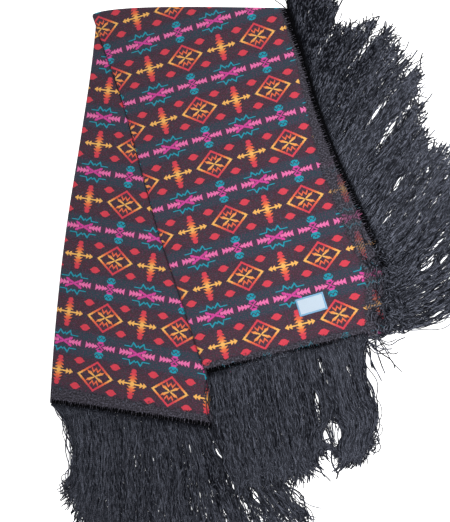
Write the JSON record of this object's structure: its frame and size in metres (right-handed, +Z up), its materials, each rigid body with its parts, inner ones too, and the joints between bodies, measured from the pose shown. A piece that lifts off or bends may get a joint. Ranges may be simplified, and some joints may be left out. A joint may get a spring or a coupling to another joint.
{
  "type": "fringed wool shawl",
  "caption": "Square patterned wool shawl with a long fringe on every side, folded to a strip, doubled over and laid flat.",
  "frame": {"origin": "on the surface that the shawl lies on, under the middle of its bounding box", "axes": "+Z up from the surface, +Y from the near hems towards the far fold, +X to the right"},
  "size_m": [1.0506, 1.5118, 0.0159],
  "materials": {
    "wool": "matte jacquard wool, dark plum ground with red, orange, yellow, pink and turquoise figures",
    "label": "smooth woven satin, pale blue, bare",
    "fringe": "black twisted yarn with a soft blue-grey sheen"
  },
  "bodies": {
    "root": {"front_panel": "wool", "front_hidden_layers": "wool", "back_panel": "wool", "back_hidden_layers": "wool", "label": "label", "side_fringe_upper": "fringe", "side_fringe_lower": "fringe", "front_fringe_upper": "fringe", "front_fringe_lower": "fringe", "back_fringe_upper": "fringe", "back_fringe_lower": "fringe"}
  },
  "joints": []
}
